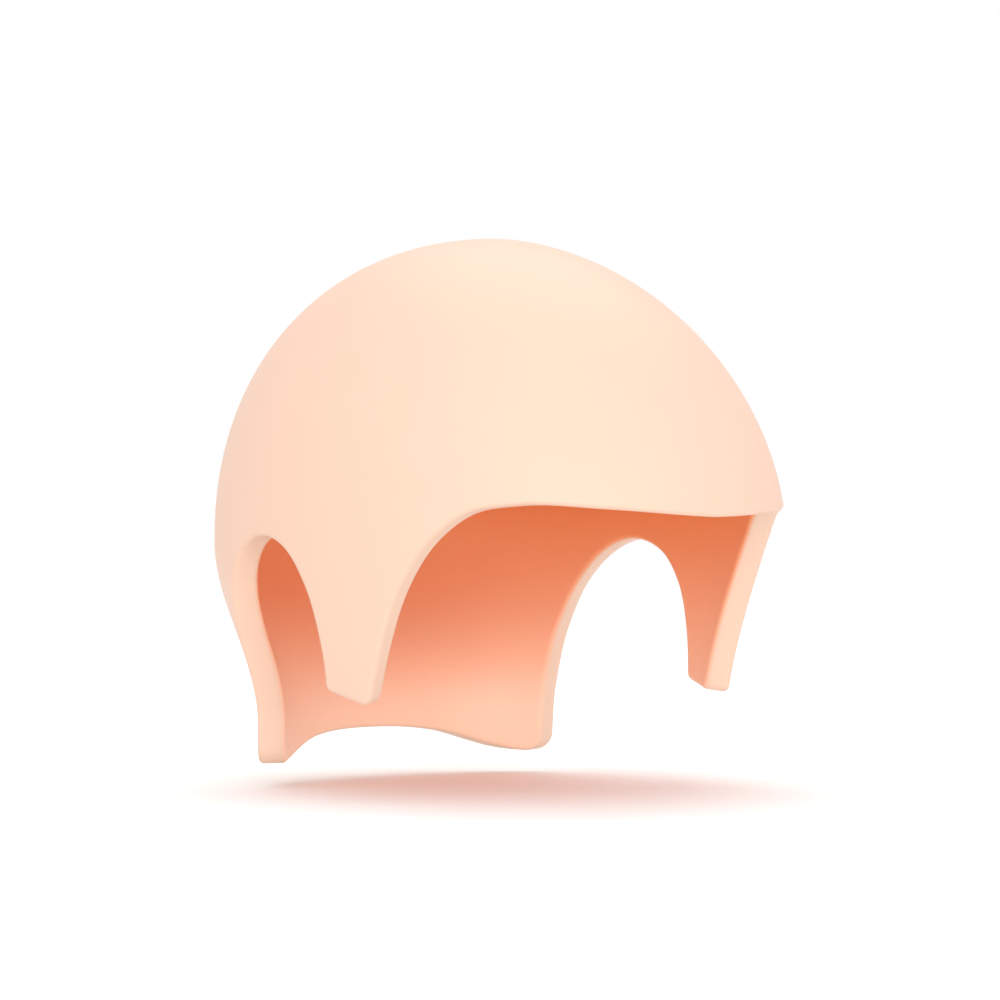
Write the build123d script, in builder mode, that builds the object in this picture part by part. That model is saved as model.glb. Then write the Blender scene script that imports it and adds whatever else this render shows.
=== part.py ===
"""Highlighting cap: one thick, soft silicone moulding that covers the head from brow to nape.

Frame: millimetres, +Z up, the face looks along -Y and the wearer's left ear is on +X. The origin is
on the crown axis, level with the widest part of the head. The moulding is written as four bodies that
meet at its flex lines: the crown, the two temple tabs in front of the ears, and the nape flap.
"""

import os
from math import cos, pi, radians, sin, sqrt, tan

from build123d import *

# Head form, outer surface
HALF_WIDTH = 87.3  # crown axis to the side, at the widest level
FRONT_REACH = 111.8  # crown axis to the forehead
REAR_REACH = 104.1  # crown axis to the back of the head
CROWN_HEIGHT = 102.0  # widest level to the top
SIDE_ROUNDNESS = 1.98  # exponent of each dome profile, where 2 is an ellipse
FRONT_ROUNDNESS = 1.83
REAR_ROUNDNESS = 2.25
DOME_ANGLES = 0, 10, 20, 30, 40, 50, 59, 67, 74, 80, 85, 89  # degrees up the dome, closer near the top
SKIRT_STEPS = 10  # levels from the widest one down to the floor

# Below the widest level the wall draws in towards the neck, in an S that ends upright
TUCK_DEPTH = 62.0
SIDE_TUCK = 3.2
FRONT_TUCK = 21.2
REAR_TUCK = 31.8

WALL = 9.0  # thickness of the silicone, measured square to it

# Face opening
BROW_HEIGHT = 6.2  # its edge over the nose, above the widest level
TEMPLE_HEIGHT = 9.4  # the top of the arch between the brow and a tab
FACE_SWEEP = 28.0  # degrees forward that its edges turn, to stay square to the wall

# Temple tabs, in front of the ears
TAB_FRONT_Y = 5.5  # front edge at the tip, measured where its sweep starts on the centre plane
TAB_FRONT_DROP = 53.9
TAB_REAR_Y = -19.7
TAB_REAR_DROP = 48.3
TAB_TIP_WIDTH = 18.0  # front to back, over which the tip falls from one drop to the other
TAB_CORNER = 3.0
TAB_HINGE_DROP = 12.0  # flex line, below the widest level
TAB_HINGE_FRONT_Y = -50.0  # the flex line runs through the middle of the wall at these two places
TAB_HINGE_REAR_Y = -12.0

# Ear notches
EAR_NOTCH_Y = 11.5  # top of the notch
EAR_NOTCH_HEIGHT = 0.8  # above the widest level
EAR_SWEEP = 20.0  # degrees backward that the rear edge turns, to stay square to the wall
NAPE_FRONT_Y = 48.0  # rear edge of the notch, which is the front edge of the nape flap

# Nape flap
NAPE_CORNER_DROP = 75.8
NAPE_MIDDLE_DROP = 66.4
NAPE_SHOULDER_DROP = 68.2  # half way out along the raised middle
NAPE_CORNER_ROUNDING = 6.5
NAPE_RISE_REACH = 54.0  # centre plane to the end of the raised middle
NAPE_HINGE_DROP = 35.0  # flex line, below the widest level

# Flex lines: each moving body turns in a shallow round seat in the crown
SEAT_RADIUS = 7.0
SEAT_GAP = 0.3

MARGIN = 30.0  # how far cutting solids run past the cap
LONGEST_CORNER = 1.2 * WALL  # an edge that runs through the wall at a corner is shorter than this


def reach(level, full, tuck, roundness, inset):
    """Distance from the crown axis to a profile of the head form at a level, less an inset."""
    if level >= 0:
        rise = level / (CROWN_HEIGHT - inset)
        return (full - inset) * (1 - rise**roundness) ** (1 / roundness)
    turn = pi * min(-level / TUCK_DEPTH, 1)
    slope = tuck * pi / (2 * TUCK_DEPTH) * sin(turn)
    return full - tuck * (1 - cos(turn)) / 2 - inset * sqrt(1 + slope**2)


def section(level, inset):
    """Half-width, half-length and centre Y of the head form's ellipse at a level."""
    side = reach(level, HALF_WIDTH, SIDE_TUCK, SIDE_ROUNDNESS, inset)
    front = reach(level, FRONT_REACH, FRONT_TUCK, FRONT_ROUNDNESS, inset)
    rear = reach(level, REAR_REACH, REAR_TUCK, REAR_ROUNDNESS, inset)
    return side, (front + rear) / 2, (rear - front) / 2


def head_form(inset, floor):
    """Solid head form from a flat floor up to the crown, drawn in all round by the inset."""
    skirt = [floor * step / SKIRT_STEPS for step in range(SKIRT_STEPS, 0, -1)]
    dome = [(CROWN_HEIGHT - inset) * sin(radians(angle)) for angle in DOME_ANGLES]
    with BuildPart() as form:
        for level in skirt + dome:
            half_width, half_length, centre = section(level, inset)
            with BuildSketch(Plane((0, centre, level))):
                Ellipse(half_width, half_length)
        loft()
    return form.part


def wall_middle(y, level):
    """Distance from the centre plane to the middle of the wall at a Y and a level."""
    outer, outer_length, outer_centre = section(level, 0)
    inner, inner_length, inner_centre = section(level, WALL)
    outside = outer * sqrt(1 - ((y - outer_centre) / outer_length) ** 2)
    inside = inner * sqrt(1 - ((y - inner_centre) / inner_length) ** 2)
    return (outside + inside) / 2


SKIRT_FLOOR = -(NAPE_CORNER_DROP + MARGIN)
FAR_FRONT = -(FRONT_REACH + MARGIN)
FAR_REAR = REAR_REACH + MARGIN
FAR_SIDE = HALF_WIDTH + MARGIN


def ear_outline(distance):
    """Outline of an ear notch, seen from the side, at a distance from the centre plane."""
    back = (abs(distance) - HALF_WIDTH) * tan(radians(EAR_SWEEP))
    with BuildSketch(Plane.YZ.offset(distance)) as outline:
        with BuildLine():
            front = Spline(
                (TAB_REAR_Y, SKIRT_FLOOR),
                (TAB_REAR_Y, -TAB_REAR_DROP),
                (-17.5, -31),
                (-11.5, -14.5),
                (-2, -3.5),
                (EAR_NOTCH_Y, EAR_NOTCH_HEIGHT),
                tangents=[(0, 1), (1, 0)],
            )
            rear = Spline(
                front @ 1,
                (NAPE_FRONT_Y - 7.5 + back, -17),
                (NAPE_FRONT_Y - 2.5 + back, -31),
                (NAPE_FRONT_Y - 0.5 + back, -50),
                (NAPE_FRONT_Y + 2 + back, SKIRT_FLOOR),
                tangents=[(1, 0), (0, -1)],
            )
            Line(rear @ 1, front @ 0)
        make_face()
    return outline.sketch


# The whole moulding, before it is divided at its flex lines
with BuildPart() as moulding:
    add(head_form(0, -NAPE_CORNER_DROP))
    add(head_form(WALL, -NAPE_CORNER_DROP - MARGIN / 10), mode=Mode.SUBTRACT)

    # Face opening: one outline on the centre plane, swept outward and forward to each side
    for side in (-1, 1):
        with BuildSketch(Plane.YZ):
            with BuildLine():
                edge = Spline(
                    (FAR_FRONT, BROW_HEIGHT),
                    (-FRONT_REACH, BROW_HEIGHT),
                    (-82, BROW_HEIGHT + 2.1),
                    (-50, TEMPLE_HEIGHT),
                    (-35, TEMPLE_HEIGHT - 2.2),
                    (-22, -0.6),
                    (-7.5, -18.5),
                    (-0.5, -34),
                    (TAB_FRONT_Y, -TAB_FRONT_DROP),
                    (TAB_FRONT_Y + 4, SKIRT_FLOOR),
                )
                Polyline(edge @ 1, (FAR_FRONT, SKIRT_FLOOR), edge @ 0)
            make_face()
        extrude(amount=FAR_SIDE / cos(radians(FACE_SWEEP)), mode=Mode.SUBTRACT,
                dir=(side * cos(radians(FACE_SWEEP)), -sin(radians(FACE_SWEEP)), 0))

    # Ear notches: the rear edge turns backward, so each notch widens outward
    for side in (-1, 1):
        near, far = ear_outline(side * HALF_WIDTH / 2), ear_outline(side * FAR_SIDE)
        loft([near, far], ruled=True, mode=Mode.SUBTRACT)

    # Tips of the tabs, lower at the front
    slope = (TAB_FRONT_DROP - TAB_REAR_DROP) / TAB_TIP_WIDTH
    with BuildSketch(Plane.YZ):
        with BuildLine():
            Polyline(
                (TAB_REAR_Y + MARGIN, -TAB_REAR_DROP + slope * MARGIN),
                (TAB_REAR_Y - 2 * MARGIN, -TAB_REAR_DROP - slope * 2 * MARGIN),
                (TAB_REAR_Y - 2 * MARGIN, SKIRT_FLOOR),
                (TAB_REAR_Y + MARGIN, SKIRT_FLOOR),
                close=True,
            )
        make_face()
    extrude(amount=FAR_SIDE, both=True, mode=Mode.SUBTRACT)

    # Corners of the tabs and of the nape flap
    corners = moulding.edges().filter_by(
        lambda edge: edge.length < LONGEST_CORNER and edge.center().Z < -TAB_HINGE_DROP
    )
    tab_corners = corners.filter_by(lambda edge: edge.center().Z > -TUCK_DEPTH)
    fillet(tab_corners, TAB_CORNER)
    corners = moulding.edges().filter_by(lambda edge: edge.length < LONGEST_CORNER)
    nape_corners = corners.filter_by(lambda edge: edge.center().Z < TAB_CORNER - NAPE_CORNER_DROP)
    fillet(nape_corners, NAPE_CORNER_ROUNDING)

    # Bottom edge of the nape, raised in the middle
    with BuildSketch(Plane.XZ.offset(-NAPE_FRONT_Y + MARGIN)):
        with BuildLine():
            hem = Spline(
                (-NAPE_RISE_REACH, -NAPE_CORNER_DROP),
                (-NAPE_RISE_REACH / 2, -NAPE_SHOULDER_DROP),
                (0, -NAPE_MIDDLE_DROP),
                (NAPE_RISE_REACH / 2, -NAPE_SHOULDER_DROP),
                (NAPE_RISE_REACH, -NAPE_CORNER_DROP),
                tangents=[(1, 0.1), (1, -0.1)],
            )
            Polyline(
                hem @ 1,
                (NAPE_RISE_REACH, SKIRT_FLOOR),
                (-NAPE_RISE_REACH, SKIRT_FLOOR),
                hem @ 0,
            )
        make_face()
    extrude(amount=-FAR_REAR, mode=Mode.SUBTRACT)


def tab_hinge(side):
    """The two points of a tab's flex line, front one first."""
    level = -TAB_HINGE_DROP
    ends = TAB_HINGE_FRONT_Y, TAB_HINGE_REAR_Y
    return [Vector(side * wall_middle(y, level), y, level) for y in ends]


def tab_zone(side, gap):
    """Everything that turns with a tab: all below its flex line, and a round seat along the line."""
    front, rear = tab_hinge(side)
    along = (rear - front).normalized()
    start = front - along * MARGIN
    length = (EAR_NOTCH_Y - start.Y) / along.Y
    with BuildPart() as zone:
        with BuildSketch(Plane.XY.offset(-TAB_HINGE_DROP)):
            with Locations((side * FAR_SIDE, EAR_NOTCH_Y)):
                Rectangle(HALF_WIDTH, -FAR_FRONT, align=(Align.MAX if side > 0 else Align.MIN, Align.MAX))
        extrude(amount=SKIRT_FLOOR)
        with BuildSketch(Plane(start, z_dir=along)):
            Circle(SEAT_RADIUS + gap)
        extrude(amount=length)
    return zone.part


def nape_hinge():
    """Y of the nape flap's flex line, in the middle of the wall at the back."""
    outer = section(-NAPE_HINGE_DROP, 0)
    inner = section(-NAPE_HINGE_DROP, WALL)
    return (outer[2] + outer[1] + inner[2] + inner[1]) / 2


def nape_zone(gap):
    """Everything that turns with the nape flap, as for a tab."""
    with BuildPart() as zone:
        with BuildSketch(Plane.XY.offset(gap - NAPE_HINGE_DROP)):
            with Locations((0, FAR_REAR)):
                Rectangle(2 * FAR_SIDE, FAR_REAR - EAR_NOTCH_Y, align=(Align.CENTER, Align.MAX))
        extrude(amount=SKIRT_FLOOR)
        with BuildSketch(Plane.YZ.offset(-FAR_SIDE)):
            with Locations((nape_hinge(), -NAPE_HINGE_DROP)):
                Circle(SEAT_RADIUS + gap)
        extrude(amount=2 * FAR_SIDE)
    return zone.part


with BuildPart() as crown_shell:
    add(moulding.part)
    for side in (-1, 1):
        add(tab_zone(side, SEAT_GAP), mode=Mode.SUBTRACT)
    add(nape_zone(SEAT_GAP), mode=Mode.SUBTRACT)

with BuildPart() as left_temple_tab:
    add(moulding.part)
    add(tab_zone(1, 0), mode=Mode.INTERSECT)

with BuildPart() as right_temple_tab:
    add(moulding.part)
    add(tab_zone(-1, 0), mode=Mode.INTERSECT)

with BuildPart() as nape_flap:
    add(moulding.part)
    add(nape_zone(0), mode=Mode.INTERSECT)

pieces = {
    "crown_shell": crown_shell,
    "left_temple_tab": left_temple_tab,
    "right_temple_tab": right_temple_tab,
    "nape_flap": nape_flap,
}
os.makedirs("parts", exist_ok=True)
for name, piece in pieces.items():
    piece.part.label = name
    export_step(piece.part, f"parts/{name}.step")

for side, name in ((1, "left"), (-1, "right")):
    front, rear = tab_hinge(side)
    print(f"{name} tab flex line from {front} to {rear}")
print(f"nape flex line at Y {nape_hinge():.2f}, Z {-NAPE_HINGE_DROP}")
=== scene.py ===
"""Highlighting cap: the soft silicone moulding of the CAD model, with its surfaces, stage and camera."""

from math import cos, pi, radians, sin, tan

import bmesh
import bpy
import numpy as np
from bpy.props import FloatProperty, FloatVectorProperty, PointerProperty
from bpy.types import Operator, Panel, PropertyGroup
from mathutils import Matrix, Vector
from mathutils.bvhtree import BVHTree
from mathutils.geometry import interpolate_bezier


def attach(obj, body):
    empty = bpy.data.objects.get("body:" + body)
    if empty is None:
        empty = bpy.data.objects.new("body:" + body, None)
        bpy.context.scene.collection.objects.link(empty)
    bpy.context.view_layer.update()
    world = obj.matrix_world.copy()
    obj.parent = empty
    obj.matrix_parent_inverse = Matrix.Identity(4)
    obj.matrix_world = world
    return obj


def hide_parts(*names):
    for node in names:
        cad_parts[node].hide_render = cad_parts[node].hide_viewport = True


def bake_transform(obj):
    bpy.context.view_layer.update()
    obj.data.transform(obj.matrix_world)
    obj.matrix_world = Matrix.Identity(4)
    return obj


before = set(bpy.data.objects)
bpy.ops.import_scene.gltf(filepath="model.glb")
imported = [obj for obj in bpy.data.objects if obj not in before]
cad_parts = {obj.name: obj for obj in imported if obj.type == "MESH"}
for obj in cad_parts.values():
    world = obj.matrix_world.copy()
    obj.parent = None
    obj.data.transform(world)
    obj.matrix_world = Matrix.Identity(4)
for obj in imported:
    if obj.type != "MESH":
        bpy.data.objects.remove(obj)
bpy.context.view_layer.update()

bl_info = {
    "name": "Highlighting Cap",
    "version": (1, 0, 0),
    "blender": (4, 5, 0),
    "location": "3D View > Sidebar > Cap",
    "description": "A thick one-piece silicone highlighting cap, with its temple tabs and nape flap",
    "category": "Add Mesh",
}

MM = 0.001
BLANK = "moulded_cap"
SILICONE = "Moulded silicone, satin"

# Head form: the exponent of each dome profile (2 is an ellipse), and how far the wall draws in
# towards the neck over the tuck depth
SIDE_ROUNDNESS, FRONT_ROUNDNESS, REAR_ROUNDNESS = 1.98, 1.83, 2.25
TUCK_DEPTH = 62 * MM
SIDE_TUCK, FRONT_TUCK, REAR_TUCK = 3.2 * MM, 21.2 * MM, 31.8 * MM
FORM_SEGMENTS, FORM_RINGS = 256, 192
FLOOR_SHARE = 1 / 3  # of the form's lower rings close its flat floor

# Edges of the openings. Each turns away from the centre plane's normal, to stay square to the wall.
FACE_SWEEP = tan(radians(28))
EAR_SWEEP = tan(radians(20))
MARGIN = 30 * MM  # how far a cutting solid runs past the cap

# Places along the wall, seen from the side: forward is negative
TAB_FRONT = 5.5 * MM  # tip of a tab's front edge, where its sweep starts on the centre plane
TAB_FRONT_BEND = -0.5 * MM, -34 * MM  # the next place up that edge, and its level
TAB_REAR = -19.7 * MM  # tip of its rear edge
TAB_TIP_WIDTH = 18 * MM  # over which the tip falls from one drop to the other
TAB_TIP_INSIDE = 62 * MM  # nearer to the centre plane than any part of a tab's tip
NOTCH_TOP = 11.5 * MM, 0.8 * MM  # highest place of an ear notch, and its level
NOTCH_MIDDLE = NOTCH_TOP[0]  # all in front of it moves with the tabs, and all behind with the nape
NAPE_FRONT = 48 * MM  # rear edge of the notch
NAPE_TIP_BACK = 0.9 * MM  # how far behind it the flap's lower corner lies
ARC_CLEARANCE = 0.5 * MM  # an outline keeps its other points this far above the start of an arc

# The nape flap's hem, raised in the middle
HEM_REACH = 54 * MM  # centre plane to the end of the raised stretch
HEM_SHOULDER = 1.8 * MM  # half way out, the hem is this much lower than in the middle
HEM_START = 18 * MM  # Y from which the hem is cut, in front of the nape's wall

# The mesh
REMESH_SMOOTHING = 8  # rounds of smoothing, which take out the steps that a remesh leaves
KEPT_SHARE = 0.4  # of the faces, once the mesh is smooth
RIM_RADIUS = 1.6 * MM  # rounding of every edge of the moulding
DEEPEST_CUT_AWAY = 0.5 * MM  # no vertex strays further than this into a cut
ON_A_CUT = 0.01 * MM  # a vertex nearer than this lies on the cut
SETTLING = 2  # rounds of moving the vertices onto the true form
DEPTH_HALVINGS = 14  # which find a depth to about a thousandth of a millimetre
DEPTH_OVERRUN = 2 * MM  # the search for a depth starts this far outside the wall
NOT_ZERO = 1e-9  # keeps a divisor from vanishing
SLOPE_STEP = 0.05 * MM  # over which the form's slope is taken
HOLLOW_OVERRUN = 5 * MM  # how far the hollow runs below the moulding

# Where one piece ends and the next begins: above each flex line, where nothing moves yet
TAB_SEAM, TAB_BEND_START, TAB_BEND_END = -4 * MM, -4.5 * MM, -24 * MM
NAPE_SEAM, NAPE_BEND_START, NAPE_BEND_END = -15 * MM, -16 * MM, -54 * MM

# The finish
PAINTED_SHADE_DEPTH = 0.84, 0.99  # shares of the wall's depth where the painted inside shade starts and is full
RIM_GLOW_DEPTH = 0.04, 0.2  # and those of the rims' painted glow, a paler tone that stands for light passing through the silicone
PAINTED_SHADE_LEVELS = -62 * MM, 12 * MM  # the painted inside shade deepens from the lower level to the upper one
CLOUD_SIZE = 25 * MM
CLOUD_SPREAD = 0.3, 0.7  # the stretch of the noise that the clouds use
CLOUD_SHADE = 0.985, 1.0
ROUGHNESS = 0.42, 0.5
GRAIN_SIZE, GRAIN_HEIGHT, GRAIN_STRENGTH = 0.7 * MM, 0.05 * MM, 0.12
SILICONE_IOR = 1.42

# The stage
FLOOR_GAP = 8 * MM  # below the nape flap, whose corners dip by 7 mm as it bends back
FLOOR_RADIUS = 12  # metres, so that its edge is out of sight
CAMERA_TURN, CAMERA_TILT = radians(-40), radians(-0.49)
CAMERA_DISTANCE = 1.005  # metres from the crown axis
CAMERA_SENSOR, CAMERA_LENS = 36, 106.4  # both in millimetres, as the camera has them
CAMERA_SHIFT = 0.01295, 0.0395


def linear(text):
    """A sRGB hex colour as linear red, green and blue."""
    values = [int(text[at : at + 2], 16) / 255 for at in (0, 2, 4)]
    return [v / 12.92 if v <= 0.04045 else ((v + 0.055) / 1.055) ** 2.4 for v in values]


class CAP_PG_sizes(PropertyGroup):
    """Sizes of the moulding."""

    half_width: FloatProperty(
        name="Half width",
        description="Crown axis to the side at the widest level",
        default=87.3 * MM,
        min=0.05,
        max=0.15,
        unit="LENGTH",
        subtype="DISTANCE",
    )
    front_reach: FloatProperty(
        name="Front reach",
        description="Crown axis to the forehead",
        default=111.8 * MM,
        min=0.05,
        max=0.2,
        unit="LENGTH",
        subtype="DISTANCE",
    )
    rear_reach: FloatProperty(
        name="Rear reach",
        description="Crown axis to the back of the head",
        default=104.1 * MM,
        min=0.05,
        max=0.2,
        unit="LENGTH",
        subtype="DISTANCE",
    )
    crown_height: FloatProperty(
        name="Crown height",
        description="Widest level to the top",
        default=102 * MM,
        min=0.05,
        max=0.2,
        unit="LENGTH",
        subtype="DISTANCE",
    )
    wall: FloatProperty(
        name="Wall",
        description="Thickness of the silicone",
        default=9 * MM,
        min=0.004,
        max=0.015,
        unit="LENGTH",
        subtype="DISTANCE",
    )
    brow_height: FloatProperty(
        name="Brow height",
        description="Edge of the face opening over the nose, above the widest level",
        default=6.2 * MM,
        unit="LENGTH",
        subtype="DISTANCE",
    )
    temple_height: FloatProperty(
        name="Temple height",
        description="Top of the face opening's arch beside the brow",
        default=9.4 * MM,
        unit="LENGTH",
        subtype="DISTANCE",
    )
    tab_front_drop: FloatProperty(
        name="Tab front drop",
        description="Front corner of a temple tab, below the widest level",
        default=53.9 * MM,
        unit="LENGTH",
        subtype="DISTANCE",
    )
    tab_rear_drop: FloatProperty(
        name="Tab rear drop",
        description="Rear corner of a temple tab, below the widest level",
        default=48.3 * MM,
        unit="LENGTH",
        subtype="DISTANCE",
    )
    tab_corner: FloatProperty(
        name="Tab corner",
        description="Rounding of a temple tab's two corners",
        default=3 * MM,
        unit="LENGTH",
        subtype="DISTANCE",
    )
    nape_corner_drop: FloatProperty(
        name="Nape corner drop",
        description="Lowest corners of the nape flap, below the widest level",
        default=75.8 * MM,
        unit="LENGTH",
        subtype="DISTANCE",
    )
    nape_middle_drop: FloatProperty(
        name="Nape middle drop",
        description="Raised middle of the nape flap's hem, below the widest level",
        default=66.4 * MM,
        unit="LENGTH",
        subtype="DISTANCE",
    )
    nape_corner: FloatProperty(
        name="Nape corner",
        description="Rounding of the nape flap's two lower corners",
        default=6.5 * MM,
        unit="LENGTH",
        subtype="DISTANCE",
    )
    grain: FloatProperty(
        name="Mesh grain",
        description="Edge length of the mesh before it is thinned",
        default=0.8 * MM,
        min=0.0006,
        max=0.003,
        unit="LENGTH",
        subtype="DISTANCE",
    )


class CAP_PG_finish(PropertyGroup):
    """Colours of the silicone, with its painted rim glow and painted inside shade, and of the stage."""

    outside: FloatVectorProperty(
        name="Silicone",
        description="Pigment of the silicone, as its outside shows it",
        subtype="COLOR",
        size=3,
        min=0,
        max=1,
        default=linear("E3BEA8"),
    )
    # The rims' colour is painted light: a paler glow that stands for light passing through the silicone
    # at its rims
    rim: FloatVectorProperty(
        name="Silicone rims",
        description="The paler tone of the rims, where light passes through the silicone",
        subtype="COLOR",
        size=3,
        min=0,
        max=1,
        default=linear("E9C8B1"),
    )
    # The inside colours are painted shade: a deeper orange that stands for light bounced many times in
    # the hollow, deepest up top and paler towards the hem
    inside_painted_shade_top: FloatVectorProperty(
        name="Silicone inside, above",
        description="The deep tone up inside, where light has bounced many times off the silicone",
        subtype="COLOR",
        size=3,
        min=0,
        max=1,
        default=linear("FEA76F"),
    )
    inside_painted_shade_hem: FloatVectorProperty(
        name="Silicone inside, at the hem",
        description="The paler tone inside near the nape's hem",
        subtype="COLOR",
        size=3,
        min=0,
        max=1,
        default=linear("FED4BA"),
    )
    floor: FloatVectorProperty(
        name="Floor",
        description="Pale studio floor",
        subtype="COLOR",
        size=3,
        min=0,
        max=1,
        default=linear("F7F7F7"),
    )


def reach(level, full, tuck, roundness, height, inset):
    """Distances from the crown axis to a profile of the head form at some levels, less an inset."""
    rise = np.clip(level / (height - inset), 0, 1)
    above = (full - inset) * (1 - rise**roundness) ** (1 / roundness)
    turn = pi * np.clip(-level / TUCK_DEPTH, 0, 1)
    slope = tuck * pi / (2 * TUCK_DEPTH) * np.sin(turn)
    below = full - tuck * (1 - np.cos(turn)) / 2 - inset * np.sqrt(1 + slope**2)
    return np.where(level >= 0, above, below)


def section(level, inset, sizes):
    """Half-widths, half-lengths and centre Ys of the head form's ellipses at some levels."""
    height = sizes.crown_height
    side = reach(level, sizes.half_width, SIDE_TUCK, SIDE_ROUNDNESS, height, inset)
    front = reach(level, sizes.front_reach, FRONT_TUCK, FRONT_ROUNDNESS, height, inset)
    rear = reach(level, sizes.rear_reach, REAR_TUCK, REAR_ROUNDNESS, height, inset)
    return side, (front + rear) / 2, (rear - front) / 2


def coordinates(mesh):
    """A mesh's vertex positions as rows."""
    rows = np.empty(len(mesh.vertices) * 3, np.float32)
    mesh.vertices.foreach_get("co", rows)
    return rows.reshape(-1, 3).astype(float)


def solid(name, build):
    """An object whose mesh is what build makes in a bmesh, with its faces outwards."""
    shape = bmesh.new()
    build(shape)
    bmesh.ops.recalc_face_normals(shape, faces=shape.faces)
    mesh = bpy.data.meshes.new(name)
    shape.to_mesh(mesh)
    shape.free()
    made = bpy.data.objects.new(name, mesh)
    bpy.context.scene.collection.objects.link(made)
    return made


def head_form(name, inset, floor, sizes):
    """Closed head form, from a flat floor up to the crown, drawn in all round by the inset."""
    made = solid(
        name,
        lambda shape: bmesh.ops.create_uvsphere(
            shape, u_segments=FORM_SEGMENTS, v_segments=FORM_RINGS, radius=1
        ),
    )
    ball = coordinates(made.data)
    height = np.clip(ball[:, 2], -1, 1)
    around = np.maximum(np.hypot(ball[:, 0], ball[:, 1]), NOT_ZERO)
    down = np.clip(-np.arcsin(height) / (pi / 2), 0, 1)
    spread = np.clip((1 - down) / FLOOR_SHARE, 0, 1)
    skirt = -floor * np.clip(down / (1 - FLOOR_SHARE), 0, 1)
    level = np.where(height > 0, height * (sizes.crown_height - inset), skirt)
    side, half_length, centre = section(level, inset, sizes)
    side, half_length = side * spread, half_length * spread
    placed = np.stack(
        [
            ball[:, 0] / around * side,
            ball[:, 1] / around * half_length + centre,
            level,
        ],
        axis=1,
    )
    made.data.vertices.foreach_set("co", placed.astype(np.float32).ravel())
    made.data.update()
    return made


def flowing(points, first=None, last=None, steps=20):
    """A smooth line through the points. First and last are its directions at the two ends."""
    points = [Vector(point) for point in points]
    gaps = [(b - a).length for a, b in zip(points, points[1:])]
    runs = [(b - a) / gap for a, b, gap in zip(points, points[1:], gaps)]
    inner = [
        (before * after_gap + after * before_gap) / (before_gap + after_gap)
        for before, after, before_gap, after_gap in zip(runs, runs[1:], gaps, gaps[1:])
    ]
    start = Vector(first).normalized() if first else 1.5 * runs[0] - 0.5 * inner[0]
    end = Vector(last).normalized() if last else 1.5 * runs[-1] - 0.5 * inner[-1]
    ways = [start, *inner, end]
    line = [points[0]]
    for at, gap in enumerate(gaps):
        a, b = points[at], points[at + 1]
        handles = a + ways[at] * gap / 3, b - ways[at + 1] * gap / 3
        line += interpolate_bezier(a, *handles, b, steps)[1:]
    return line


def corner(before, at, after, radius, steps=12):
    """The arc that rounds a corner of an outline."""
    before, at, after = Vector(before), Vector(at), Vector(after)
    back, on = (before - at).normalized(), (after - at).normalized()
    half = back.angle(on) / 2
    setback = radius / tan(half)
    start, end = at + back * setback, at + on * setback
    pull = 4 / 3 * tan((pi / 2 - half) / 2) * radius
    return interpolate_bezier(start, start - back * pull, end - on * pull, end, steps)


def skin(shape, sections):
    """A closed solid through outlines of equally many points, in order."""
    loops = []
    for outline in sections:
        verts = [shape.verts.new(point) for point in outline]
        loops.append([shape.edges.new(pair) for pair in zip(verts, verts[1:] + verts[:1])])
    for near, far in zip(loops, loops[1:]):
        bmesh.ops.bridge_loops(shape, edges=near + far)
    for end in (loops[0], loops[-1]):
        bmesh.ops.edgeloop_fill(shape, edges=end)


def face_outline(sizes, distance):
    """Outline of the face opening at a distance from the centre plane."""
    front = -(sizes.front_reach + MARGIN)
    floor = -(sizes.nape_corner_drop + MARGIN)
    brow, temple = sizes.brow_height, sizes.temple_height
    edge = flowing(
        [
            (0, front, brow),
            (0, -sizes.front_reach, brow),
            (0, -82 * MM, brow + 2.1 * MM),
            (0, -50 * MM, temple),
            (0, -35 * MM, temple - 2.2 * MM),
            (0, -22 * MM, -0.6 * MM),
            (0, -7.5 * MM, -18.5 * MM),
            (0, *TAB_FRONT_BEND),
            (0, TAB_FRONT, -sizes.tab_front_drop),
            (0, TAB_FRONT + 4 * MM, floor),
        ]
    )
    outline = [*edge, Vector((0, front, floor))]
    forward = Vector((distance, -FACE_SWEEP * abs(distance), 0))
    return [point + forward for point in outline]


def tip_slope(sizes):
    """How much lower a tab's tip is for each metre forward."""
    return (sizes.tab_front_drop - sizes.tab_rear_drop) / TAB_TIP_WIDTH


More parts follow.
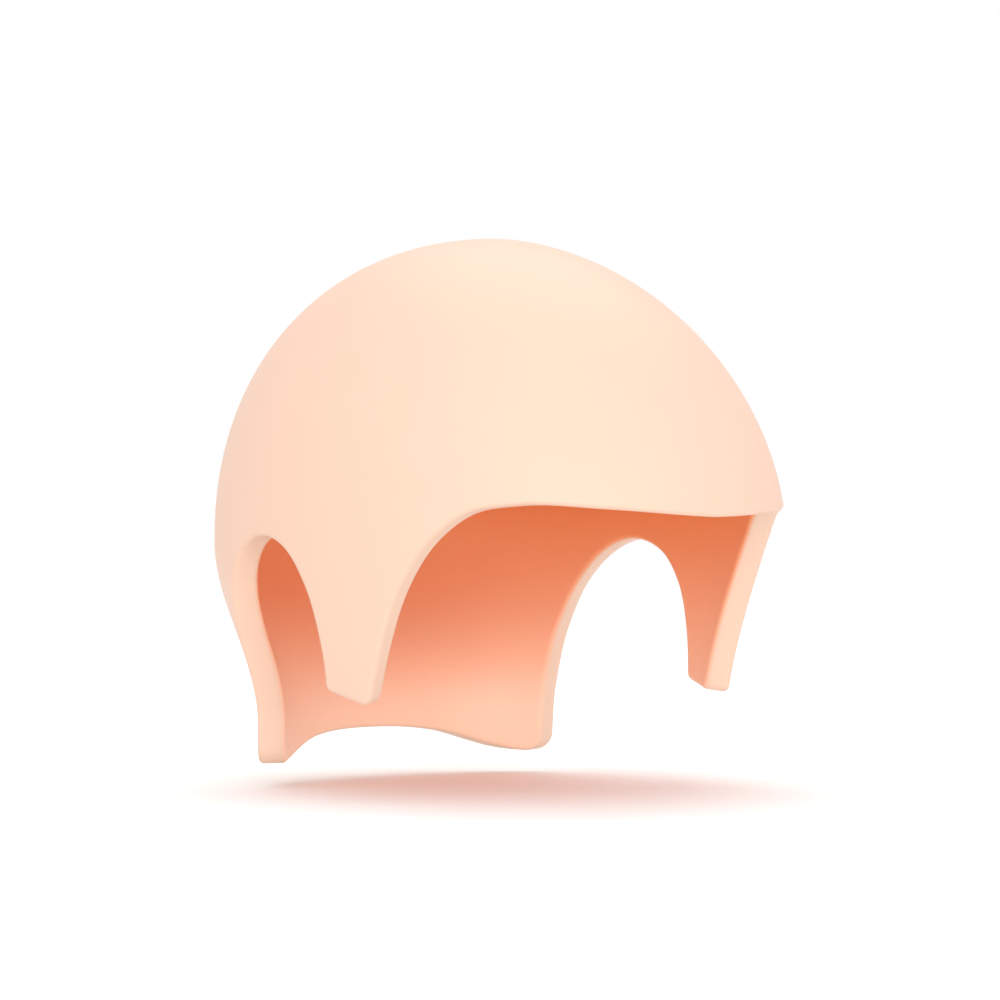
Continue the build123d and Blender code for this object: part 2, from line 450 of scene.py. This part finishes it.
def ear_outline(sizes, distance):
    """Outline of all that is cut away below the ear at a distance from the centre plane: the notch,
    the space under the tab's tip, and the nape flap's lower front corner."""
    back = (abs(distance) - sizes.half_width) * EAR_SWEEP
    slope = tip_slope(sizes)
    drop, floor = sizes.tab_rear_drop, sizes.nape_corner_drop
    far_front = TAB_REAR - 3 * MARGIN
    tab_corner = (0, TAB_REAR, -drop)
    before_tip = (0, far_front, -drop - slope * 3 * MARGIN)
    front = flowing(
        [
            tab_corner,
            (0, -17.5 * MM, -31 * MM),
            (0, -11.5 * MM, -14.5 * MM),
            (0, -2 * MM, -3.5 * MM),
            (0, *NOTCH_TOP),
        ],
        first=(0, 0.03, 1),
        last=(0, 1, 0),
    )
    edge = NAPE_FRONT + back
    nape_corner = (0, edge + NAPE_TIP_BACK, -floor)
    rear = flowing(
        [
            (0, *NOTCH_TOP),
            (0, edge - 7.5 * MM, -17 * MM),
            (0, edge - 2.5 * MM, -31 * MM),
            (0, edge - 0.5 * MM, -50 * MM),
            nape_corner,
        ],
        first=(0, 1, 0),
        last=(0, 0.06, -1),
    )
    tip_arc = corner(before_tip, tab_corner, front[3], sizes.tab_corner)
    nape_arc = corner(rear[-4], nape_corner, (0, edge + MARGIN, -floor), sizes.nape_corner)
    above_arc = [point for point in front[1:] if point.z > tip_arc[-1].z]
    before_arc = [point for point in rear[1:] if point.z > nape_arc[0].z + ARC_CLEARANCE]
    # Past the nape's corner the outline runs on below the moulding, and back to the front
    outline = [
        Vector(before_tip),
        *tip_arc,
        *above_arc,
        *before_arc,
        *nape_arc,
        Vector((0, nape_arc[-1].y + 2 * MM, -floor - 1 * MM)),
        Vector((0, nape_arc[-1].y + 2 * MM, -floor - MARGIN)),
        Vector((0, far_front, -floor - MARGIN)),
    ]
    return [point + Vector((distance, 0, 0)) for point in outline]


def toe_outline(sizes, distance):
    """Outline of what rounds off the front corner of a tab, at a distance from the centre plane."""
    slope = tip_slope(sizes)
    bend_y, bend_level = TAB_FRONT_BEND
    edge = TAB_FRONT - FACE_SWEEP * abs(distance)
    drop = sizes.tab_rear_drop + slope * (TAB_REAR - edge)
    at = Vector((0, edge, -drop))
    up = (0, edge + bend_y - TAB_FRONT, -drop + sizes.tab_front_drop + bend_level)
    rear = (0, TAB_REAR, -sizes.tab_rear_drop)
    arc = corner(up, at, rear, sizes.tab_corner)
    # Outside the arc it runs clear of the tab, below its tip and in front of its edge
    outline = [
        *arc,
        Vector((0, arc[-1].y + 0.5 * MM, arc[-1].z - 2 * MM)),
        Vector((0, arc[0].y - 3 * MM, arc[-1].z - 4 * MM)),
        Vector((0, arc[0].y - 2.7 * MM, arc[0].z + 6 * MM)),
    ]
    return [point + Vector((distance, 0, 0)) for point in outline]


def hem_outline(sizes, y):
    """Outline of the nape flap's raised hem, at a Y."""
    floor, middle = -sizes.nape_corner_drop, -sizes.nape_middle_drop
    shoulder = middle - HEM_SHOULDER
    line = flowing(
        [
            (-HEM_REACH, y, floor),
            (-HEM_REACH / 2, y, shoulder),
            (0, y, middle),
            (HEM_REACH / 2, y, shoulder),
            (HEM_REACH, y, floor),
        ],
        first=(1, 0, 0.1),
        last=(1, 0, -0.1),
    )
    below = floor - MARGIN
    return [*line, Vector((HEM_REACH, y, below)), Vector((-HEM_REACH, y, below))]


def both_sides(outline, sizes, near):
    """Builds the cutting solids of an outline on both sides, from a near distance outwards."""

    def build(shape):
        far = sizes.half_width + MARGIN
        for side in (-1, 1):
            skin(shape, [outline(sizes, side * near), outline(sizes, side * far)])

    return build


def depth_in_wall(points, sizes):
    """How far each point lies below the outside of the head form, by halving."""
    shallow = np.full(len(points), -DEPTH_OVERRUN)
    deep = np.full(len(points), sizes.wall + DEPTH_OVERRUN)
    for _ in range(DEPTH_HALVINGS):
        middle = (shallow + deep) / 2
        side, half_length, centre = section(points[:, 2], middle, sizes)
        reached = (points[:, 0] / np.maximum(side, NOT_ZERO)) ** 2
        reached += ((points[:, 1] - centre) / np.maximum(half_length, NOT_ZERO)) ** 2
        shallow = np.where(reached < 1, middle, shallow)
        deep = np.where(reached < 1, deep, middle)
    return (shallow + deep) / 2


def wall_normals(points, depth, sizes):
    """Outward directions of the head form at some points."""
    moves = np.eye(3) * SLOPE_STEP
    slope = np.stack([depth - depth_in_wall(points + move, sizes) for move in moves], axis=1)
    return slope / np.maximum(np.linalg.norm(slope, axis=1, keepdims=True), NOT_ZERO)


def distance_to_cuts(points, trees, floor):
    """How far some points lie from the nearest cut, up to two rim radii, and the way towards it. The
    flat bottom of the moulding counts as a cut."""
    furthest = 2 * RIM_RADIUS
    near = np.full(len(points), furthest)
    way = np.zeros((len(points), 3))
    way[:, 2] = -1
    low = points[:, 2] + floor < near
    near[low] = points[low, 2] + floor
    for at, point in enumerate(points):
        for tree in trees:
            place, normal, _, gap = tree.find_nearest(point, furthest)
            if place is None:
                continue
            towards = Vector(point) - place
            cut_away = towards.dot(normal) < 0 and gap < DEEPEST_CUT_AWAY
            signed = -gap if cut_away else gap
            if signed < near[at]:
                near[at] = signed
                way[at] = -(towards / signed) if gap > ON_A_CUT else -normal
    return near, way


def settle(mesh, trees, sizes):
    """Moves each vertex onto the head form or a cut, and round the rims where the two meet."""
    points = coordinates(mesh)
    for _ in range(SETTLING):
        depth = depth_in_wall(points, sizes)
        normals = wall_normals(points, depth, sizes)
        inside = depth > sizes.wall / 2
        normals[inside] *= -1
        to_wall = np.where(inside, sizes.wall - depth, depth)
        to_cut, cut_way = distance_to_cuts(points, trees, sizes.nape_corner_drop)
        along_wall = np.maximum(RIM_RADIUS - to_wall, 0)
        along_cut = np.maximum(RIM_RADIUS - to_cut, 0)
        reached = np.hypot(along_wall, along_cut)
        out = along_wall[:, None] * normals + along_cut[:, None] * cut_way
        out /= np.maximum(reached, NOT_ZERO)[:, None]
        points += np.where(reached > 0, RIM_RADIUS - reached, 0)[:, None] * out
    mesh.vertices.foreach_set("co", points.astype(np.float32).ravel())
    mesh.update()


def openings(sizes):
    """The solids that cut the openings of the moulding."""
    far = sizes.half_width + MARGIN
    back = sizes.rear_reach + MARGIN
    return [
        solid(
            "face_opening",
            lambda shape: skin(shape, [face_outline(sizes, x) for x in (-far, 0, far)]),
        ),
        solid("ear_notches", both_sides(ear_outline, sizes, sizes.half_width / 2)),
        solid("tab_toes", both_sides(toe_outline, sizes, TAB_TIP_INSIDE)),
        solid(
            "raised_hem",
            lambda shape: skin(shape, [hem_outline(sizes, y) for y in (HEM_START, back)]),
        ),
    ]


def applied(made):
    """A new mesh of an object with its modifiers applied."""
    depsgraph = bpy.context.evaluated_depsgraph_get()
    return bpy.data.meshes.new_from_object(made.evaluated_get(depsgraph))


def discard(made):
    """Removes an object and its mesh."""
    mesh = made.data
    bpy.data.objects.remove(made)
    bpy.data.meshes.remove(mesh)


def smooth(mesh):
    """Evens out a mesh, by moving each vertex towards its neighbours."""
    shape = bmesh.new()
    shape.from_mesh(mesh)
    for _ in range(REMESH_SMOOTHING):
        bmesh.ops.smooth_vert(
            shape, verts=shape.verts, factor=0.5, use_axis_x=True, use_axis_y=True, use_axis_z=True
        )
    shape.to_mesh(mesh)
    shape.free()


def thinned(mesh):
    """A copy of a mesh with fewer faces, in place of the mesh."""
    lighter = bpy.data.objects.new("lighter", mesh)
    bpy.context.scene.collection.objects.link(lighter)
    lighter.modifiers.new("lighter", "DECIMATE").ratio = KEPT_SHARE
    copy = applied(lighter)
    discard(lighter)
    return copy


def mould_blank(sizes):
    """Makes the whole moulding as one mesh: the head form's shell, cut open, with its rims rounded."""
    floor = sizes.nape_corner_drop
    cap = head_form(BLANK, 0, floor, sizes)
    hollow = head_form("hollow", sizes.wall, floor + HOLLOW_OVERRUN, sizes)
    cuts = openings(sizes)
    for cutter in (hollow, *cuts):
        cut = cap.modifiers.new(cutter.name, "BOOLEAN")
        cut.operation, cut.solver, cut.object = "DIFFERENCE", "MANIFOLD", cutter
    remesh = cap.modifiers.new("even_mesh", "REMESH")
    remesh.mode, remesh.voxel_size = "VOXEL", sizes.grain
    remesh.use_smooth_shade = True
    bpy.context.view_layer.update()
    mesh = applied(cap)
    depsgraph = bpy.context.evaluated_depsgraph_get()
    trees = [BVHTree.FromObject(cutter, depsgraph) for cutter in cuts]
    for made in (cap, hollow, *cuts):
        discard(made)
    smooth(mesh)
    mesh = thinned(mesh)
    mesh.name = BLANK
    settle(mesh, trees, sizes)


def mark_inside(mesh, sizes):
    """Writes how deep each vertex lies in the wall, from 0 outside to 1 inside."""
    share = np.clip(depth_in_wall(coordinates(mesh), sizes) / sizes.wall, 0, 1)
    attribute = mesh.attributes.new("wall_depth", "FLOAT", "POINT")
    attribute.data.foreach_set("value", share.astype(np.float32))


def in_front(at):
    """Whether a place is in front of the ear notches' middle, with the tabs."""
    return at.y < NOTCH_MIDDLE


def behind(at):
    """Whether a place is behind that middle, with the nape."""
    return at.y > NOTCH_MIDDLE


def cut_piece(name, keep, seams):
    """A closed piece of the moulding: the faces that keep chooses, once each seam is cut. A seam is a
    level, and a test of which faces it runs through."""
    shape = bmesh.new()
    shape.from_mesh(bpy.data.meshes[BLANK])
    for level, runs_through in seams:
        faces = [face for face in shape.faces if runs_through(face.calc_center_median())]
        edges = {edge for face in faces for edge in face.edges}
        verts = {vert for face in faces for vert in face.verts}
        bmesh.ops.bisect_plane(
            shape, geom=[*verts, *edges, *faces], plane_co=(0, 0, level), plane_no=(0, 0, 1)
        )
    waste = [face for face in shape.faces if not keep(face.calc_center_median())]
    bmesh.ops.delete(shape, geom=waste, context="FACES")
    rim = [edge for edge in shape.edges if edge.is_boundary]
    if not rim:
        raise RuntimeError(f"{name} has no seam to close")
    bmesh.ops.holes_fill(shape, edges=rim, sides=0)
    for edge in rim:
        edge.smooth = False
    open_edges = sum(not edge.is_manifold for edge in shape.edges)
    if open_edges:
        raise RuntimeError(f"{name} is open along {open_edges} edges")
    for face in shape.faces:
        face.smooth = True
    mesh = bpy.data.meshes.new(name)
    shape.to_mesh(mesh)
    shape.free()
    mark_inside(mesh, bpy.context.scene.cap_sizes)
    mesh.materials.append(bpy.data.materials.get(SILICONE) or silicone())
    piece = bpy.data.objects.new(name, mesh)
    bpy.context.scene.collection.objects.link(piece)
    return piece


def add_node(tree, kind, links=(), **settings):
    """A new node with its settings. Each link is an input and the socket or value that feeds it."""
    node = tree.nodes.new(kind)
    for name, value in settings.items():
        setattr(node, name, value)
    for key, value in links:
        if isinstance(value, bpy.types.NodeSocket):
            tree.links.new(value, node.inputs[key])
        else:
            node.inputs[key].default_value = value
    return node


def silicone():
    """Pigmented platinum silicone from a blasted mould: opaque and satin, with a soft, broad highlight,
    faint clouds in the pigment and the fine grain of the mould. Its rims carry a painted glow, a paler
    tone that stands for light through the silicone, and its inside a painted shade, a deeper orange for
    light bounced in the hollow, deepest up top."""
    finish = bpy.context.scene.cap_finish
    material = bpy.data.materials.new(SILICONE)
    material.use_nodes = True
    tree = material.node_tree
    shader = tree.nodes["Principled BSDF"]
    place = add_node(tree, "ShaderNodeTexCoord").outputs["Object"]
    depth = add_node(tree, "ShaderNodeAttribute", attribute_name="wall_depth").outputs["Fac"]
    # Painted shade: deep in the wall the colour turns to the inside's deeper orange, which stands for
    # light bounced in the hollow, and deepens upwards
    inside = add_node(
        tree,
        "ShaderNodeMapRange",
        [("Value", depth), ("From Min", PAINTED_SHADE_DEPTH[0]), ("From Max", PAINTED_SHADE_DEPTH[1])],
        interpolation_type="SMOOTHSTEP",
    ).outputs["Result"]
    height = add_node(tree, "ShaderNodeSeparateXYZ", [("Vector", place)]).outputs["Z"]
    painted_shade_upwards = add_node(
        tree,
        "ShaderNodeMapRange",
        [("Value", height), ("From Min", PAINTED_SHADE_LEVELS[0]), ("From Max", PAINTED_SHADE_LEVELS[1])],
    ).outputs["Result"]
    painted_inside_shade = add_node(
        tree,
        "ShaderNodeMix",
        [(0, painted_shade_upwards), (6, (*finish.inside_painted_shade_hem, 1)), (7, (*finish.inside_painted_shade_top, 1))],
        data_type="RGBA",
    ).outputs[2]
    # Painted glow: near the outside, the rim faces turn to the paler rim colour, which stands for light
    # passing through the silicone
    painted_rim_glow_mask = add_node(
        tree,
        "ShaderNodeMapRange",
        [("Value", depth), ("From Min", RIM_GLOW_DEPTH[0]), ("From Max", RIM_GLOW_DEPTH[1])],
        interpolation_type="SMOOTHSTEP",
    ).outputs["Result"]
    outside_with_painted_rim_glow = add_node(
        tree,
        "ShaderNodeMix",
        [(0, painted_rim_glow_mask), (6, (*finish.outside, 1)), (7, (*finish.rim, 1))],
        data_type="RGBA",
    ).outputs[2]
    tone = add_node(
        tree,
        "ShaderNodeMix",
        [(0, inside), (6, outside_with_painted_rim_glow), (7, painted_inside_shade)],
        data_type="RGBA",
    ).outputs[2]
    clouds = add_node(
        tree, "ShaderNodeTexNoise", [("Vector", place), ("Scale", 1 / CLOUD_SIZE), ("Detail", 3)]
    ).outputs["Fac"]
    cloud_tone = add_node(
        tree,
        "ShaderNodeMapRange",
        [
            ("Value", clouds),
            ("From Min", CLOUD_SPREAD[0]),
            ("From Max", CLOUD_SPREAD[1]),
            ("To Min", CLOUD_SHADE[0]),
            ("To Max", CLOUD_SHADE[1]),
        ],
    ).outputs["Result"]
    clouded = add_node(
        tree,
        "ShaderNodeVectorMath",
        [(0, tone), ("Scale", cloud_tone)],
        operation="SCALE",
    ).outputs["Vector"]
    tree.links.new(clouded, shader.inputs["Base Color"])
    # A real mould's grain is about 0.05 mm across, and is drawn coarser so that it shows
    grain = add_node(
        tree, "ShaderNodeTexNoise", [("Vector", place), ("Scale", 1 / GRAIN_SIZE), ("Detail", 2)]
    ).outputs["Fac"]
    relief = add_node(
        tree,
        "ShaderNodeBump",
        [("Height", grain), ("Strength", GRAIN_STRENGTH), ("Distance", GRAIN_HEIGHT)],
    ).outputs["Normal"]
    tree.links.new(relief, shader.inputs["Normal"])
    sheen = add_node(
        tree,
        "ShaderNodeMapRange",
        [
            ("Value", clouds),
            ("From Min", CLOUD_SPREAD[0]),
            ("From Max", CLOUD_SPREAD[1]),
            ("To Min", ROUGHNESS[0]),
            ("To Max", ROUGHNESS[1]),
        ],
    ).outputs["Result"]
    tree.links.new(sheen, shader.inputs["Roughness"])
    shader.inputs["IOR"].default_value = SILICONE_IOR
    return material


class CAP_OT_blank(Operator):
    """Mould the whole cap as one mesh, for its pieces to be cut from"""

    bl_idname = "cap.blank"
    bl_label = "Moulded cap"

    def execute(self, context):
        mould_blank(context.scene.cap_sizes)
        return {"FINISHED"}


class CAP_OT_crown(Operator):
    """Cut the crown, down to the flex lines of the tabs and the nape flap"""

    bl_idname = "cap.crown"
    bl_label = "Crown"

    def execute(self, context):
        piece = cut_piece(
            "cap_crown",
            lambda at: at.z > (TAB_SEAM if in_front(at) else NAPE_SEAM),
            [(TAB_SEAM, in_front), (NAPE_SEAM, behind)],
        )
        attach(piece, "crown_shell")
        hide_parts("crown_shell")
        return {"FINISHED"}


class CAP_OT_temple_tabs(Operator):
    """Cut the two temple tabs, which bend in front of the ears"""

    bl_idname = "cap.temple_tabs"
    bl_label = "Temple tabs"

    def execute(self, context):
        for name, side in (("left_temple_tab", 1), ("right_temple_tab", -1)):
            piece = cut_piece(
                f"cap_{name}",
                lambda at, side=side: at.z < TAB_SEAM and in_front(at) and at.x * side > 0,
                [(TAB_SEAM, in_front)],
            )
            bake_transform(piece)
            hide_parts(name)
        return {"FINISHED"}


class CAP_OT_nape_flap(Operator):
    """Cut the nape flap, which bends away from the neck, and clear away what the pieces were cut from"""

    bl_idname = "cap.nape_flap"
    bl_label = "Nape flap"

    def execute(self, context):
        piece = cut_piece(
            "cap_nape_flap",
            lambda at: at.z < NAPE_SEAM and behind(at),
            [(NAPE_SEAM, behind)],
        )
        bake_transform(piece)
        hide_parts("nape_flap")
        bpy.data.meshes.remove(bpy.data.meshes[BLANK])
        return {"FINISHED"}


def soft_box(name, place, size, power):
    """A square area light that faces the cap."""
    light = bpy.data.lights.new(name, "AREA")
    light.shape, light.size, light.energy = "SQUARE", size, power
    lamp = bpy.data.objects.new(name, light)
    bpy.context.scene.collection.objects.link(lamp)
    lamp.location = place
    lamp.rotation_euler = (-Vector(place)).to_track_quat("-Z", "Y").to_euler()


class CAP_OT_stage(Operator):
    """Set up the pale floor, the soft studio light and the camera"""

    bl_idname = "cap.stage"
    bl_label = "Stage"

    def execute(self, context):
        scene = context.scene
        finish = scene.cap_finish
        floor = solid(
            "studio_floor",
            lambda shape: bmesh.ops.create_circle(
                shape, cap_ends=True, segments=96, radius=FLOOR_RADIUS
            ),
        )
        level = -scene.cap_sizes.nape_corner_drop - FLOOR_GAP
        floor.data.transform(Matrix.Translation((0, 0, level)))
        paper = bpy.data.materials.new("Matt studio paper")
        paper.use_nodes = True
        shader = paper.node_tree.nodes["Principled BSDF"]
        shader.inputs["Base Color"].default_value = (*finish.floor, 1)
        shader.inputs["Roughness"].default_value = 0.9
        floor.data.materials.append(paper)

        world = bpy.data.worlds.new("Studio")
        world.use_nodes = True
        back = world.node_tree.nodes["Background"]
        back.inputs["Color"].default_value = (*linear("FFFFFF"), 1)
        back.inputs["Strength"].default_value = 1.0
        scene.world = world

        overhead = bpy.data.lights.new("overhead", "SUN")
        overhead.energy, overhead.angle = 0.4, radians(60)
        lamp = bpy.data.objects.new("overhead", overhead)
        scene.collection.objects.link(lamp)
        lamp.rotation_euler = (radians(28), radians(-18), radians(-20))
        soft_box("front_fill", (-1.15, -1.85, -0.02), 1.7, 33)
        soft_box("top_back", (0.5, 0.45, 1.4), 1.3, 6)

        lens = bpy.data.cameras.new("camera")
        lens.sensor_width, lens.lens = CAMERA_SENSOR, CAMERA_LENS
        lens.shift_x, lens.shift_y = CAMERA_SHIFT
        lens.clip_start, lens.clip_end = 0.05, 60
        camera = bpy.data.objects.new("camera", lens)
        scene.collection.objects.link(camera)
        across = CAMERA_DISTANCE * cos(CAMERA_TILT)
        camera.location = (
            across * sin(CAMERA_TURN),
            -across * cos(CAMERA_TURN),
            CAMERA_DISTANCE * sin(CAMERA_TILT),
        )
        camera.rotation_euler = (-camera.location).to_track_quat("-Z", "Y").to_euler()
        scene.camera = camera
        scene.view_settings.view_transform = "Standard"
        return {"FINISHED"}


class CAP_PT_sidebar(Panel):
    """Sizes, colours and steps of the cap"""

    bl_idname = "CAP_PT_sidebar"
    bl_label = "Highlighting Cap"
    bl_space_type = "VIEW_3D"
    bl_region_type = "UI"
    bl_category = "Cap"

    def draw(self, context):
        scene = context.scene
        for group in (scene.cap_sizes, scene.cap_finish):
            column = self.layout.column()
            for name in group.__annotations__:
                column.prop(group, name)
        for operator in OPERATORS:
            self.layout.operator(operator.bl_idname)


GROUPS = {"cap_sizes": CAP_PG_sizes, "cap_finish": CAP_PG_finish}
OPERATORS = (CAP_OT_blank, CAP_OT_crown, CAP_OT_temple_tabs, CAP_OT_nape_flap, CAP_OT_stage)


def register():
    for kind in (*GROUPS.values(), *OPERATORS, CAP_PT_sidebar):
        bpy.utils.register_class(kind)
    for name, kind in GROUPS.items():
        setattr(bpy.types.Scene, name, PointerProperty(type=kind))


def unregister():
    for name in GROUPS:
        delattr(bpy.types.Scene, name)
    for kind in reversed((*GROUPS.values(), *OPERATORS, CAP_PT_sidebar)):
        bpy.utils.unregister_class(kind)


def main():
    register()
    bpy.ops.cap.blank()
    bpy.ops.cap.crown()
    bpy.ops.cap.temple_tabs()
    bpy.ops.cap.nape_flap()
    bpy.ops.cap.stage()


if __name__ == "__main__":
    main()
